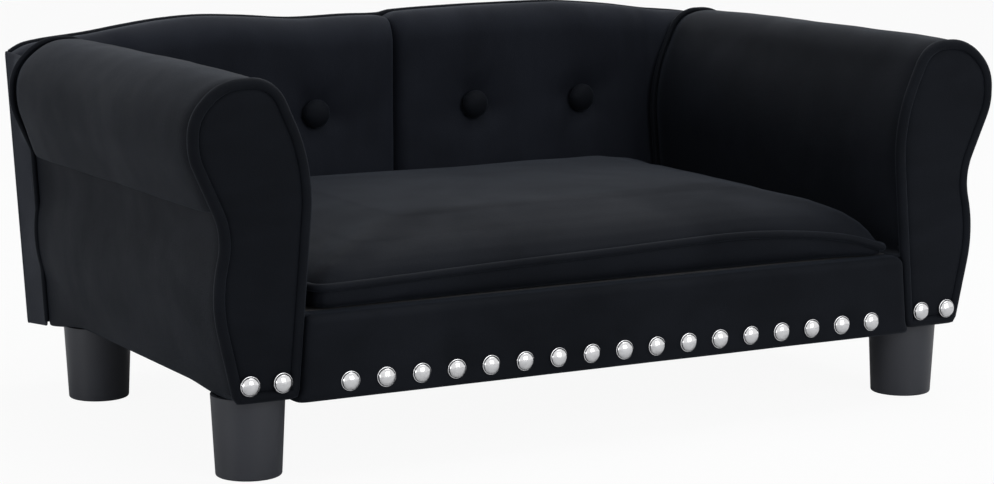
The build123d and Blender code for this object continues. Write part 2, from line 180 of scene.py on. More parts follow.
def polishedMetal(name, s):
    r = Recipe(name)
    spot = r.place()
    scuff = r.clamp(r.grain(spot, s["scuffScale"], 5.0, 0.65), 0.48, 0.72)
    wave = r.grain(spot, s["scuffScale"] * 0.9, 1.0, 0.4)
    return r.finish(r.blend(scuff * 0.5, s["colour"], s["dull"]), scuff * 0.16 + s["gloss"],
                    r.relief(wave, 0.25, 0.0012), {"Metallic": 1.0})


footFinish = {"colour": (0.020, 0.022, 0.029, 1), "worn": (0.030, 0.033, 0.041, 1), "texture": 620.0}
zipFinish = {"colour": (0.02, 0.02, 0.022, 1), "worn": (0.035, 0.035, 0.038, 1), "texture": 1400.0}


def mouldedPlastic(name, s):
    r = Recipe(name)
    spot = r.place()
    speckle = r.grain(spot, s["texture"], 3.0, 0.6)
    rub = r.clamp(r.grain(spot, 26.0, 5.0, 0.6), 0.5, 0.75)
    ground = r.node("ShaderNodeSeparateXYZ", sockets={"Vector": spot}, output="Z")
    scuffed = (1 - r.clamp(ground, 0.0, 0.009)) * rub
    colour = r.blend(rub * 0.35 + scuffed * 0.6, s["colour"], s["worn"])
    return r.finish(colour, 0.40 + rub * 0.1 + speckle * 0.08,
                    r.relief(speckle, 0.22, 0.0003), {"Specular IOR Level": 0.45})


def nonWoven(name, colour):
    r = Recipe(name)
    spot = r.place()
    dots = r.node("ShaderNodeTexVoronoi", sockets={"Vector": spot, "Scale": 560.0, "Randomness": 0.25})
    fibre = r.grain(spot, 900.0, 4.0, 0.7, 0.8)
    lighter = tuple(min(1.0, c * 1.7) for c in colour[:3]) + (1,)
    return r.finish(r.blend(fibre * 0.7, colour, lighter), 0.82 + fibre * 0.12,
                    r.relief(r.clamp(dots, 0.1, 0.5) + fibre * 0.5, 0.5, 0.0004))


def rawWood(name, pale, dark, stretch):
    r = Recipe(name)
    spot = r.place(stretch)
    rings = r.grain(spot, 60.0, 6.0, 0.65, 1.4)
    pores = r.grain(spot, 420.0, 3.0, 0.6)
    return r.finish(r.blend(r.clamp(rings, 0.35, 0.7), pale, dark), 0.68 + pores * 0.18,
                    r.relief(pores + rings * 0.5, 0.35, 0.0005))


def foamRubber(name, colour):
    r = Recipe(name)
    cells = r.node("ShaderNodeTexVoronoi", sockets={"Vector": r.place(), "Scale": 900.0})
    darker = tuple(c * 0.7 for c in colour[:3]) + (1,)
    return r.finish(r.blend(r.clamp(cells, 0.0, 0.6), darker, colour), 0.9 - cells * 0.1,
                    r.relief(cells, 0.5, 0.0006))


recipes = {
    "armVelvet": (velvet, 0.02, (0.4, 1.0, 1.6)),
    # painted light: the back's lift of 0.40 and gain of 1.8 make its velvet lighter, standing in for frontal
    # light that its recess between the arms and cushion doesn't get; the outside cover shares it
    "backVelvet": (velvet, 0.40, (1.6, 0.6, 0.4), 1.8),
    "cushionVelvet": (velvet, 0.12, (0.5, 1.4, 1.0)),
    # painted shade: a lift of -0.04 darkens the welts and buttons, standing in for the shade of the creases
    # beside them and damping their highlight
    "pipingVelvet": (velvet, -0.04),
    "nailChrome": (polishedMetal, nailFinish),
    "footPlastic": (mouldedPlastic, footFinish),
    "liningCloth": (nonWoven, (0.018, 0.018, 0.020, 1)),
    "zipCoil": (mouldedPlastic, zipFinish),
    "zincSteel": (polishedMetal, boltFinish),
    "pressedBoard": (rawWood, (0.50, 0.36, 0.22, 1), (0.30, 0.19, 0.10, 1), (1.4, 1.4, 1.4)),
    "sawnTimber": (rawWood, (0.62, 0.45, 0.27, 1), (0.38, 0.24, 0.12, 1), (0.25, 2.0, 2.0)),
    "paddingFoam": (foamRubber, (0.74, 0.70, 0.58, 1)),
    "waxedTwine": (nonWoven, (0.05, 0.05, 0.05, 1)),
}
finishes = {name: make(name, *values) for name, (make, *values) in recipes.items()}
slotFinish = {
    "velvet": "armVelvet", "foam": "paddingFoam", "lining": "liningCloth", "twine": "waxedTwine",
    "zip": "zipCoil", "board": "pressedBoard", "timber": "sawnTimber", "nails": "nailChrome",
    "bolts": "zincSteel", "feet": "footPlastic",
}
for part in frame["record"]["subparts"]:
    piece = frame["nodes"][part["node"]]
    piece.data.materials.clear()
    piece.data.materials.append(finishes[slotFinish[part["material_slot"]]])
print("finishes made:", len(finishes))


# Drawing helpers

def placed(name, data):
    piece = bpy.data.objects.new(name, data)
    scene.collection.objects.link(piece)
    return piece


def mend(mesh, merge, inside=None):
    # join doubled points and turn the faces outwards
    shape = bmesh.new()
    shape.from_mesh(mesh)
    bmesh.ops.remove_doubles(shape, verts=shape.verts, dist=merge * mm)
    bmesh.ops.recalc_face_normals(shape, faces=shape.faces)
    if inside is not None:  # open surfaces: turn them to face away from this point
        middle = Vector(inside) * mm
        away = sum((f.calc_center_median() - middle).dot(f.normal) * f.calc_area() for f in shape.faces)
        if away < 0:
            bmesh.ops.reverse_faces(shape, faces=shape.faces)
    shape.to_mesh(mesh)
    shape.free()


def meshPiece(name, points, faces, inside=None):
    mesh = bpy.data.meshes.new(name)
    mesh.from_pydata([Vector(p) * mm for p in points], [], faces)
    mend(mesh, 0.02, inside)
    mesh.shade_smooth()
    return placed(name, mesh)


def gridFaces(rows, columns, joinColumns=False):
    faces = []
    for i in range(rows - 1):
        for j in range(columns if joinColumns else columns - 1):
            a, b = i * columns, (i + 1) * columns
            faces.append((a + j, a + (j + 1) % columns, b + (j + 1) % columns, b + j))
    return faces


def gridPiece(name, rows, inside=None, joinColumns=False):
    points = [p for row in rows for p in row]
    return meshPiece(name, points, gridFaces(len(rows), len(rows[0]), joinColumns), inside)


def settle(piece):
    # turn live modifiers into plain mesh
    graph = bpy.context.evaluated_depsgraph_get()
    graph.update()
    mesh = bpy.data.meshes.new_from_object(piece.evaluated_get(graph))
    piece.modifiers.clear()
    piece.data = mesh
    mesh.shade_smooth()


def thicken(piece, thickness):
    wall = piece.modifiers.new("wall", "SOLIDIFY")
    wall.thickness = thickness * mm
    wall.offset = -1
    settle(piece)


def soften(piece):
    rounder = piece.modifiers.new("rounder", "SUBSURF")
    rounder.levels = rounder.render_levels = 1


def dress(piece, body, slot, finish, *nodes):
    piece.data.materials.clear()
    piece.data.materials.append(finishes[finish])
    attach(piece, body)
    if nodes:
        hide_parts(*nodes)


def upholster(piece, thickness, finish, *nodes):
    # velvet with a wall and soft edges, on the sofa's own body
    thicken(piece, thickness)
    soften(piece)
    dress(piece, "sofa", "velvet", finish, *nodes)


def wander(x, y, z, size, seed=0.0):
    # smooth lumps of the given size, from -1 to 1
    return noise.noise(Vector((x / size + seed, y / size - seed * 0.7, z / size + seed * 1.3)))


def lumpsAt(sizes, x, y, z, seed):
    # lumps of several depths and sizes together
    return sum(depth * wander(x, y, z, size, seed) for depth, size in sizes)


def bell(distance, width):
    return math.exp(-(distance / width) ** 2)


def bump(size, distance):
    # a bell of the given depth and half width
    return size[0] * bell(distance, size[1])


def unit(value):
    return max(0.0, min(1.0, value))


def eased(share):
    share = unit(share)
    return share * share * (3 - 2 * share)


def rounding(share):
    # how far a quarter round has sunk at a share of its run
    return 1 - math.sqrt(max(0.0, 1 - share**2))


def across(count):
    # even shares of a half width, from -1 to 1
    return [2 * i / count - 1 for i in range(count + 1)]


def tableValue(table, x):
    # a smooth line through the table's points, flat past its ends
    if x <= table[0][0]:
        return table[0][1]
    for i in range(len(table) - 1):
        x0, y0 = table[i]
        x1, y1 = table[i + 1]
        if x <= x1:
            before = table[i - 1] if i else (2 * x0 - x1, 2 * y0 - y1)
            after = table[i + 2] if i + 2 < len(table) else (2 * x1 - x0, 2 * y1 - y0)
            t = (x - x0) / (x1 - x0)
            m0 = (y1 - before[1]) / (x1 - before[0]) * (x1 - x0)
            m1 = (after[1] - y0) / (after[0] - x0) * (x1 - x0)
            return ((2 * t**3 - 3 * t**2 + 1) * y0 + (t**3 - 2 * t**2 + t) * m0
                    + (3 * t**2 - 2 * t**3) * y1 + (t**3 - t**2) * m1)
    return table[-1][1]


def evenly(path, step, closed=False):
    # points at an even step along a path of 2D or 3D points
    line = [Vector(p) for p in path]
    if closed:
        line.append(line[0].copy())
    lengths = [0.0]
    for a, b in zip(line, line[1:]):
        lengths.append(lengths[-1] + (b - a).length)
    count = max(3, round(lengths[-1] / step))
    made = []
    k = 0
    for i in range(count if closed else count + 1):
        want = lengths[-1] * i / count
        while k < len(lengths) - 2 and lengths[k + 1] < want:
            k += 1
        span = lengths[k + 1] - lengths[k]
        made.append(line[k].lerp(line[k + 1], (want - lengths[k]) / span if span else 0.0))
    return made


def outset(loop, distance):
    # move an anticlockwise closed loop outwards
    count = len(loop)
    made = []
    for i in range(count):
        along = (loop[(i + 1) % count] - loop[i - 1]).normalized()
        made.append(loop[i] + Vector((along.y, -along.x)) * distance)
    return made


# Repeats: piping, nails and zip teeth

class Garden(Maker):
    # a Geometry Nodes tree with a named input for each of its sizes
    def __init__(self, name, sizes):
        super().__init__(bpy.data.node_groups.new(name, "GeometryNodeTree"))
        plugs = self.tree.interface
        plugs.new_socket("Geometry", in_out="INPUT", socket_type="NodeSocketGeometry")
        for label, value in sizes.items():
            kind = "NodeSocketInt" if isinstance(value, int) else "NodeSocketFloat"
            plugs.new_socket(label, in_out="INPUT", socket_type=kind).default_value = value
        plugs.new_socket("Finish", in_out="INPUT", socket_type="NodeSocketMaterial")
        plugs.new_socket("Geometry", in_out="OUTPUT", socket_type="NodeSocketGeometry")
        entry = self.tree.nodes.new("NodeGroupInput")
        self.given = {socket.name: Wire(self, socket) for socket in entry.outputs}

    def __getitem__(self, label):
        return self.given[label]

    def end(self, geometry):
        whole = self.node("GeometryNodeRealizeInstances", sockets={"Geometry": geometry})
        smooth = self.node("GeometryNodeSetShadeSmooth", sockets={0: whole})
        done = self.node("GeometryNodeSetMaterial", sockets={"Geometry": smooth, "Material": self["Finish"]})
        self.node("NodeGroupOutput", sockets={0: done})
        return self.tree


def growPiece(piece, tree, sizes, finish):
    grower = piece.modifiers.new("grower", "NODES")
    grower.node_group = tree
    wanted = dict(sizes, Finish=finishes[finish])
    for item in tree.interface.items_tree:
        if item.in_out == "INPUT" and item.name in wanted:
            grower[item.identifier] = wanted[item.name]
    settle(piece)
    mend(piece.data, 0.01)


def pathPiece(name, path, closed=False):
    # a bare line of points and edges for a tree to follow
    count = len(path)
    edges = [(i, (i + 1) % count) for i in range(count if closed else count - 1)]
    mesh = bpy.data.meshes.new(name)
    mesh.from_pydata([Vector(p) * mm for p in path], edges, [])
    return placed(name, mesh)


def pipingTree():
    g = Garden("piping", {
        "Radius": 0.003, "Spacing": 0.003, "Sides": 12, "Pucker": 0.0002, "Pucker scale": 260.0})
    line = g.node("GeometryNodeMeshToCurve", sockets={"Mesh": g["Geometry"]})
    line = g.node("GeometryNodeResampleCurve", {"mode": "LENGTH"}, {"Curve": line, "Length": g["Spacing"]})
    ring = g.node("GeometryNodeCurvePrimitiveCircle", sockets={
        "Resolution": g["Sides"], "Radius": g["Radius"]})
    cord = g.node("GeometryNodeCurveToMesh", sockets={
        "Curve": line, "Profile Curve": ring, "Fill Caps": True})
    lump = g.node("ShaderNodeTexNoise", sockets={"Scale": g["Pucker scale"], "Detail": 1.0})
    move = g.node("ShaderNodeVectorMath", {"operation": "SCALE"}, {
        0: g.node("GeometryNodeInputNormal"), "Scale": (lump - 0.5) * g["Pucker"]})
    return g.end(g.node("GeometryNodeSetPosition", sockets={"Geometry": cord, "Offset": move}))


def nailTree():
    g = Garden("nails", {
        "Head radius": 0.0066, "Head rise": 0.004, "Back cut": 0.0006, "Rim": 0.0005, "Segments": 28,
        "Tilt": 0.05, "Seed": 4})
    ball = g.node("GeometryNodeMeshUVSphere", sockets={
        "Segments": g["Segments"], "Rings": 16, "Radius": 1.0})
    size = g.node("ShaderNodeCombineXYZ", sockets={
        "X": g["Head radius"], "Y": g["Head rise"], "Z": g["Head radius"]})
    dome = g.node("GeometryNodeTransform", sockets={"Geometry": ball, "Scale": size})
    depth = g.node("ShaderNodeSeparateXYZ", sockets={"Vector": g.node("GeometryNodeInputPosition")}, output=1)
    behind = g.node("FunctionNodeCompare", {"data_type": "FLOAT", "operation": "GREATER_THAN"}, {
        0: depth, 1: g["Back cut"]})
    dome = g.node("GeometryNodeDeleteGeometry", {"domain": "POINT"}, {"Geometry": dome, "Selection": behind})
    circle, bead = [g.node("GeometryNodeCurvePrimitiveCircle", sockets={
        "Resolution": count, "Radius": radius}) for count, radius in ((28, g["Head radius"]), (6, g["Rim"]))]
    rim = g.node("GeometryNodeCurveToMesh", sockets={"Curve": circle, "Profile Curve": bead})
    rim = g.node("GeometryNodeTransform", sockets={"Geometry": rim, "Rotation": (math.pi / 2, 0, 0)})
    head = g.node("GeometryNodeJoinGeometry", sockets={0: [dome, rim]})
    low, high = [g.node("ShaderNodeVectorMath", {"operation": "SCALE"}, {
        0: (sign, sign * 0.2, sign), "Scale": g["Tilt"]}) for sign in (-1.0, 1.0)]
    tilt = g.node("FunctionNodeRandomValue", {"data_type": "FLOAT_VECTOR"}, {
        0: low, 1: high, "Seed": g["Seed"]})
    return g.end(g.node("GeometryNodeInstanceOnPoints", sockets={
        "Points": g.node("GeometryNodeMeshToPoints", sockets={"Mesh": g["Geometry"]}),
        "Instance": head, "Rotation": tilt}))


def toothTree():
    g = Garden("zipTeeth", {"Pitch": 0.0016, "Tooth": 0.0011, "Tall": 0.0030, "Proud": 0.0009})
    line = g.node("GeometryNodeMeshToCurve", sockets={"Mesh": g["Geometry"]})
    marks = g.node("GeometryNodeCurveToPoints", {"mode": "LENGTH"}, {"Curve": line, "Length": g["Pitch"]},
                   output="Points")
    size = g.node("ShaderNodeCombineXYZ", sockets={"X": g["Tooth"], "Y": g["Proud"], "Z": g["Tall"]})
    tooth = g.node("GeometryNodeMeshCube", sockets={
        "Size": size, "Vertices X": 2, "Vertices Y": 2, "Vertices Z": 2})
    return g.end(g.node("GeometryNodeInstanceOnPoints", sockets={"Points": marks, "Instance": tooth}))


piping, nailHeads, zipTeeth = pipingTree(), nailTree(), toothTree()


def weltPiece(name, path, closed, radius, body, *nodes):
    welt = pathPiece(name, path, closed)
    growPiece(welt, piping, {"Radius": radius * mm, "Spacing": 0.0028, "Sides": 12}, "pipingVelvet")
    dress(welt, body, "velvet", "pipingVelvet", *nodes)


sides = ((-1, "left"), (1, "right"))
print("repeating trees built")


# Arms

armSettings = {
    "inner": 254.0, "outer": 350.3, "middle": 300.0, "low": 60.0, "top": 291.5,
    "corners": [  # shares of width and height, and the share of a side each rounding takes
        (0.150, 0.000, 0.09), (0.670, 0.000, 0.08), (0.848, 0.330, 0.58), (0.737, 0.522, 0.38),
        (1.000, 0.765, 0.34), (1.000, 0.892, 0.50), (0.742, 1.000, 0.48), (0.305, 1.000, 0.45),
        (0.000, 0.720, 0.50)],
    "arcSteps": 16, "outlineStep": 1.5,
    "step": 4.6,             # spacing of the cloth grid
    # the rolled cloth; a pair is a depth and a width or size
    "rollHem": 198.0,        # its lower edge outside
    "rollLap": 1.6,          # height of its inner edge over the deck
    "rollWall": 2.6, "rollSink": 0.9, "rollFill": 1.6, "fillRun": 38, "rollLumps": ((0.7, 62), (0.25, 23)),
    "frontTuck": (2.2, 6.5), "rearTuck": (3.0, 8), "pleats": (0.5, 0.22), "pleatShare": 0.32, "pleatRun": 15,
    "hemStand": 1.8, "hemShare": 0.07, "hemTurn": ((1.2, 1.0, 0.5), (5.5, 1.2, 0.8)),
    "rollFlap": ((1.5, 1.0), (5.0, 0.6), (9.0, 0.3)),
    # the outer side
    "sideHem": 65.4, "sideWall": 1.6, "sideSink": 2.5, "foldInner": 306.5, "foldLow": 60.4,
    "sideRear": (1.2, 12), "sideFront": (1.5, 7), "sidePull": ((0.6, 45),), "sideLumps": ((0.2, 19),),
    "rearShy": 1.5, "swellRun": 75.0, "swellTop": 240.0, "swellFade": 35.0,
    "rearDrop": 5.5, "dropFrom": 95.0, "dropRun": 70.0, "dropFade": 50.0,
    "footDrop": (3.0, 38), "footY": -167.0,
    # the ends and their welts
    "frontWelt": 4.2, "rearWelt": 2.4, "rearInset": 1.5,
    "facingInset": 6.9, "facingWall": 1.2, "facingSink": 2.3, "facingPuff": 1.7, "puffRun": 5,
    "facingLumps": ((0.35, 34),), "rimSink": 1.7, "rimRun": 3.6,
    "nailX": (282.1, 307.6), "nailZ": 73.5, "nailDent": (1.3, 7.5),
    "backInset": 2.4, "backStand": 0.9, "backWall": 0.8, "backLumps": ((0.2, 40),),
    "wrapInner": 290.0, "wrapOuter": 322.0, "wrapReach": 19, "wrapStep": 3.5, "wrapWall": 1.6,
    "wrapLumps": ((0.3, 25),),
}


def armLoop():
    s = armSettings
    wide, tall = s["outer"] - s["inner"], s["top"] - s["low"]
    spots = [Vector((s["inner"] + a * wide, s["low"] + b * tall)) for a, b, c in s["corners"]]
    count = len(spots)
    line = []
    for i in range(count):
        here = spots[i]
        back, ahead = spots[i - 1] - here, spots[(i + 1) % count] - here
        cut = s["corners"][i][2] * min(back.length, ahead.length)
        start, end = here + back.normalized() * cut, here + ahead.normalized() * cut
        half = (math.pi - back.angle(ahead)) / 2
        radius = cut / math.tan(half)
        centre = here + (back.normalized() + ahead.normalized()).normalized() * (radius / math.cos(half))
        for k in range(s["arcSteps"] + 1):
            spoke = (start - centre).normalized().slerp((end - centre).normalized(), k / s["arcSteps"])
            line.append(centre + spoke * radius)
    return evenly(line, s["outlineStep"], closed=True)


armOutline = armLoop()
lowestIndex = min(range(len(armOutline)), key=lambda i: armOutline[i].x + armOutline[i].y)
armOutline = armOutline[lowestIndex:] + armOutline[:lowestIndex]


def outlineSpan(loop, startTest, endTest):
    first = next(i for i, p in enumerate(loop) if startTest(p))
    last = max(i for i, p in enumerate(loop) if endTest(p))
    return loop[first:last + 1]


def faceAt(z, outer):
    # X of the arm's inner or outer side at a height
    side = [p for p in armOutline if (p.x > armSettings["middle"]) == outer]
    return min(side, key=lambda p: abs(p.y - z)).x


def rearSwell(p, y):
    # towards the rear the outer side is pulled out as wide as the back
    s = armSettings
    if p.x < s["middle"]:
        return 0.0
    wide = max(0.0, backHalf(p.y) - s["rearShy"] - p.x)
    return wide * eased(1 - (armRear - y) / s["swellRun"]) * eased((s["swellTop"] - p.y) / s["swellFade"])


def hemDrop(y):
    # how far the side's lower edge hangs below its plain height, at the feet
    s = armSettings
    return s["rearDrop"] * eased((y - s["dropFrom"]) / s["dropRun"]) + bump(s["footDrop"], y - s["footY"])


def sweepAlong(path, stations, shift):
    # rows along Y, each the path moved out by shift(point, arc share, y)
    rows = []
    for y in stations:
        row = []
        for i, p in enumerate(path):
            along = (path[min(i + 1, len(path) - 1)] - path[max(i - 1, 0)]).normalized()
            out = Vector((along.y, -along.x))
            q = p + out * shift(p, i / (len(path) - 1), y)
            row.append((q.x, y, q.y))
        rows.append(row)
    return rows


def stationsBetween(low, high, step):
    count = round((high - low) / step)
    plain = [low + (high - low) * i / count for i in range(count + 1)]
    extra = [low + 1.5, low + 3.0, high - 3.0, high - 1.5]
    return sorted(plain + extra)


def mirrored(rows, side):
    return [[(side * x, y, z) for x, y, z in row] for row in rows]


armFront = boxOf("arm_front_welt_right")[0][1]
rearWeltLow, rearWeltHigh = boxOf("arm_rear_welt_right")
armRear = (rearWeltLow[1] + rearWeltHigh[1]) / 2
deckTop = boxOf("deck_lining")[1][2]
frontWeltY = armFront + armSettings["frontWelt"]


def makeRoll(side, name):
    s = armSettings
    seed = 3.1 * side
    path = outlineSpan(armOutline, lambda p: p.y >= s["rollHem"], lambda p: p.y >= deckTop + s["rollLap"])

    def shift(p, share, y):
        edge = max(min(y - frontWeltY, armRear - y), 0)
        tuck = -bump(s["frontTuck"], y - frontWeltY) - bump(s["rearTuck"], armRear - y)
        fill = s["rollFill"] * (1 - math.exp(-edge / s["fillRun"]))
        lumps = lumpsAt(s["rollLumps"], p.x, y, p.y, seed)
        pleats = bump(s["pleats"], share - s["pleatShare"]) * math.exp(-edge / s["pleatRun"])
        pleats *= wander(share * 260, 0, y / 4, 9, seed)
        hem = bell(share, s["hemShare"]) * (s["hemStand"] + wander(0, y, 0, 70, seed + 5))
        return -s["rollSink"] + tuck + fill + lumps + pleats + hem + rearSwell(p, y)

    rows = sweepAlong(evenly(path, s["step"]), stationsBetween(frontWeltY, armRear, s["step"]), shift)
    for row in rows:  # the hem turns under towards the frame
        x, y, z = row[0]
        for inward, down, wave in s["hemTurn"]:
            row.insert(0, (x - inward, y, z - down + wave * wander(0, y, 0, 60, seed)))
        x, y, z = row[-1]  # and the other edge laps over the deck's lining
        row.extend((x - inward, y, deckTop + up) for inward, up in s["rollFlap"])
    roll = gridPiece("armRoll." + name, mirrored(rows, side), (side * s["middle"], 0, 245))
    upholster(roll, s["rollWall"], "armVelvet", "arm_cover_" + name, "arm_foam_" + name)


def makeSide(side, name):
    s = armSettings
    seed = 7.7 * side
    path = outlineSpan(armOutline, lambda p: p.x > 314 and p.y > s["sideHem"] - 2,
                       lambda p: p.x > s["middle"] and p.y < s["rollHem"] + 8)

    def shift(p, share, y):
        tuck = bump(s["sideRear"], armRear - y) - bump(s["sideFront"], y - frontWeltY)
        pull = lumpsAt(s["sidePull"], p.x, y * 0.5, p.y, seed) + lumpsAt(s["sideLumps"], p.x, y, p.y, seed)
        return -s["sideSink"] + tuck + pull * min(1, share * 6) + rearSwell(p, y)

    rows = sweepAlong(evenly(path, s["step"]), stationsBetween(frontWeltY, armRear, s["step"]), shift)
    for i, row in enumerate(rows):  # the lower edge hangs over the feet and folds under the board
        drop = hemDrop(row[0][1])
        hung = [(x, y, z - drop * max(0.0, 1 - (z - s["sideHem"]) / s["dropFade"]) ** 2) for x, y, z in row]
        x, y, z = hung[0]
        under = s["sideHem"] - 1.0
        rows[i] = [(s["foldInner"], y, s["foldLow"]), (s["foldInner"] + 5.8, y, s["foldLow"] - 0.4),
                   (x - 3.6, y, min(under, z + 6)), (x - 3.2, y, z - 0.6), (x - 1.6, y, z - 1.0)] + hung
    panel = gridPiece("armSide." + name, mirrored(rows, side), (side * 290, 0, 130))
    upholster(panel, s["sideWall"], "armVelvet", "arm_side_panel_" + name)


def crossPiece(name, side, inset, depthAt, behind):
    # cloth that fills the arm's outline, its depth given by depthAt(x, z, distance from the rim)
    loop = outset(armOutline, -inset)
    lowZ, highZ = min(p.y for p in loop), max(p.y for p in loop)
    levels, steps = 64, 20
    rows = []
    for i in range(levels + 1):
        t = i / levels
        z = lowZ + 0.15 + (highZ - lowZ - 0.3) * (1 - math.cos(math.pi * t)) / 2
        hits = []
        for a, b in zip(loop, loop[1:] + loop[:1]):
            if (a.y - z) * (b.y - z) <= 0 and a.y != b.y:
                hits.append(a.x + (b.x - a.x) * (z - a.y) / (b.y - a.y))
        near, far = min(hits), max(hits)
        row = []
        for j in range(steps + 1):
            x = near + (far - near) * (1 - math.cos(math.pi * j / steps)) / 2
            edge = min((Vector((x, z)) - p).length for p in loop)
            row.append((side * x, depthAt(x, z, edge), z))
        rows.append(row)
    return gridPiece(name, rows, (side * armSettings["middle"], behind, 170))


def makeFacing(side, name):
    s = armSettings

    def depthAt(x, z, edge):
        rim = max(0.0, 1 - edge / s["rimRun"])
        puff = s["facingPuff"] * (1 - math.exp(-edge / s["puffRun"]))
        lumps = lumpsAt(s["facingLumps"], x * side, 0, z, side) * min(1, edge / 9)
        dent = sum(bump(s["nailDent"], math.hypot(x - nailX, z - s["nailZ"])) for nailX in s["nailX"])
        return armFront + s["facingSink"] - puff + s["rimSink"] * rim**2 - lumps + dent

    panel = crossPiece("armFacing." + name, side, s["facingInset"], depthAt, armFront + 100)
    upholster(panel, s["facingWall"], "armVelvet", "arm_facing_" + name)


def makeArmBack(side, name):
    # plain cloth over the rear board, where the roll stands wider and higher than the back
    s = armSettings

    def depthAt(x, z, edge):
        return armRear + s["backStand"] - lumpsAt(s["backLumps"], x, 0, z, side)

    cloth = crossPiece("armBack." + name, side, s["backInset"], depthAt, armRear - 100)
    thicken(cloth, s["backWall"])
    dress(cloth, "sofa", "velvet", "armVelvet")


def makeWrap(side, name):
    # the cloth round the front board's inner edge and bottom, below the seat
    s = armSettings
    inner = [p for p in armOutline[len(armOutline) // 2:] if p.x < s["wrapInner"] and p.y < deckTop + 8]
    under = [p for p in armOutline[:len(armOutline) // 4] if p.x < s["wrapOuter"] and p.y < s["sideHem"]]
    stations = stationsBetween(frontWeltY, frontWeltY + s["wrapReach"], s["wrapStep"])

    def shift(p, share, y):
        return -s["wrapWall"] + lumpsAt(s["wrapLumps"], p.x, y, p.y, side)

    rows = sweepAlong(evenly(inner + under, s["wrapStep"]), stations, shift)
    wrap = gridPiece("armWrap." + name, mirrored(rows, side), (side * s["middle"], 0, 150))
    upholster(wrap, s["wrapWall"], "armVelvet")


def makeArmWelts(side, name):
    s = armSettings
    front = evenly(outset(armOutline, -s["frontWelt"]), 2.8, closed=True)
    weltPiece("armWeltFront." + name, [(side * p.x, frontWeltY, p.y) for p in front], True,
              s["frontWelt"], "sofa", "arm_front_welt_" + name)
    rear = outlineSpan(outset(armOutline, -s["rearInset"]),
                       lambda p: p.x > s["middle"] and p.y > s["sideHem"] + 3, lambda p: p.y >= deckTop + 1)
    rear = [Vector((p.x + rearSwell(p, armRear), p.y)) for p in rear]
    hung = [Vector((backHalf(z) - s["rearShy"], z)) for z in (s["sideHem"] - s["rearDrop"], s["sideHem"] - 6)]
    weltPiece("armWeltRear." + name, [(side * p.x, armRear + 1.2, p.y) for p in hung + rear], False,
              s["rearWelt"], "sofa", "arm_rear_welt_" + name)


# Back

backSettings = {
    "crown": [  # height of the top line across the width, as in the photograph
        (-338.5, 277.0), (-322, 285.0), (-269, 291.3), (-237, 296.0), (-205, 299.8), (-170, 301.5),
        (-130, 299.6), (-85, 296.0), (-33, 296.8), (0, 296.6), (12, 298.8), (70, 300.8), (120, 301.4),
        (170, 301.3), (205, 298.8), (237, 295.5), (269, 291.0), (322, 285.0), (338.5, 277.0)],
    "front": 166.0, "rear": 213.0, "padRear": 205.6, "low": 112.0,
    "roundTop": 24.0, "roundSeam": 13.0, "seamDrop": 5.0, "hem": 50.0, "endLift": 5.5,
    "lowHalf": 325.3, "highHalf": 338.5, "highZ": 277.0,
    "padHalf": 337.4, "padRound": (8, 10), "padWall": 2.4, "padLumps": ((0.8, 70), (0.35, 26)),
    "seatZ": 118, "seatFade": 26,   # the seam and the arms' valleys show only above the seat
    "buttons": (77.0, 186.0), "buttonZ": 215.5, "buttonRadius": 12.5, "buttonRise": 7.5,
    "dimple": (8.0, 17), "fold": (3.0, 36), "armValley": (5.0, 13), "valleyX": 256,
    "shellWall": 1.8, "shellCorner": 5, "boardShy": 7.5, "boardNotch": (6.0, 16),
    "weltRadius": 2.6, "weltHalf": 334.5, "weltShy": 4.9,
}


def backHalf(z, inset=0.0):
    # half width of the back at a height
    s = backSettings
    return s["lowHalf"] + (s["highHalf"] - s["lowHalf"]) * (z - s["hem"]) / (s["highZ"] - s["hem"]) - inset


def backTop(x):
    return tableValue(backSettings["crown"], x)


def makeBackPanel(side, name):
    s = backSettings
    seed = 11.3 * side
    spread = [-0.6, 0.4, 1.6, 3.2, 5.5, 8.5, 12.0, 16.0]
    spread += [16.0 + (337.0 - 16.0 - 8.0) * i / 62 for i in range(1, 63)] + [333.0, 336.2, 337.4]
    front, low, r = s["front"], s["low"], s["roundTop"]
    rise, arc, flat = 26, 9, 5
    endDepth, endRun = s["padRound"]
    columns = []
    for d in spread:
        column = []
        high = backTop(side * d) - 0.6
        near = rounding(max(0.0, 1 - d / s["roundSeam"]))
        seamSink, drop = s["roundSeam"] * near, s["seamDrop"] * near
        endSink = endDepth * rounding(max(0.0, 1 - (s["padHalf"] - d) / endRun))
        line = [(front, low + (high - r - low) * i / rise) for i in range(rise)]
        for i in range(arc + 1):
            a = math.pi / 2 * i / arc
            line.append((front + r - r * math.cos(a), high - r + r * math.sin(a)))
        for i in range(1, flat + 1):
            t = i / flat
            line.append((front + r + (s["padRear"] - front - r) * t, high - 2.0 * t**2))
        for y, z in line:
            x = min(d, backHalf(z, 0.6))
            face = unit((front + r - y) / r)
            aboveSeat = eased((z - s["seatZ"]) / s["seatFade"])
            dish = bump(s["armValley"], d - s["valleyX"]) * aboveSeat  # drawn in beside the arm's rear seam
            for bx in s["buttons"]:
                reach = math.hypot(x - bx, z - s["buttonZ"])
                turn = math.atan2(z - s["buttonZ"], x - bx)
                folds = 0.5 + 0.5 * math.cos(5 * turn + bx)
                dish += bump(s["dimple"], reach) + bump(s["fold"], reach) * (0.7 + 0.6 * folds)
            lumps = lumpsAt(s["padLumps"], x * side, y, z, seed)
            y += (seamSink * aboveSeat + endSink + dish - lumps) * face
            z -= drop * (1 - face) + 0.5 * lumps * (1 - face)
            column.append((side * x, y, z))
        columns.append(column)
    panel = gridPiece("backPanel." + name, columns, (side * 170, 190, 190))
    upholster(panel, s["padWall"], "backVelvet", "back_panel_" + name, "back_foam_" + name)


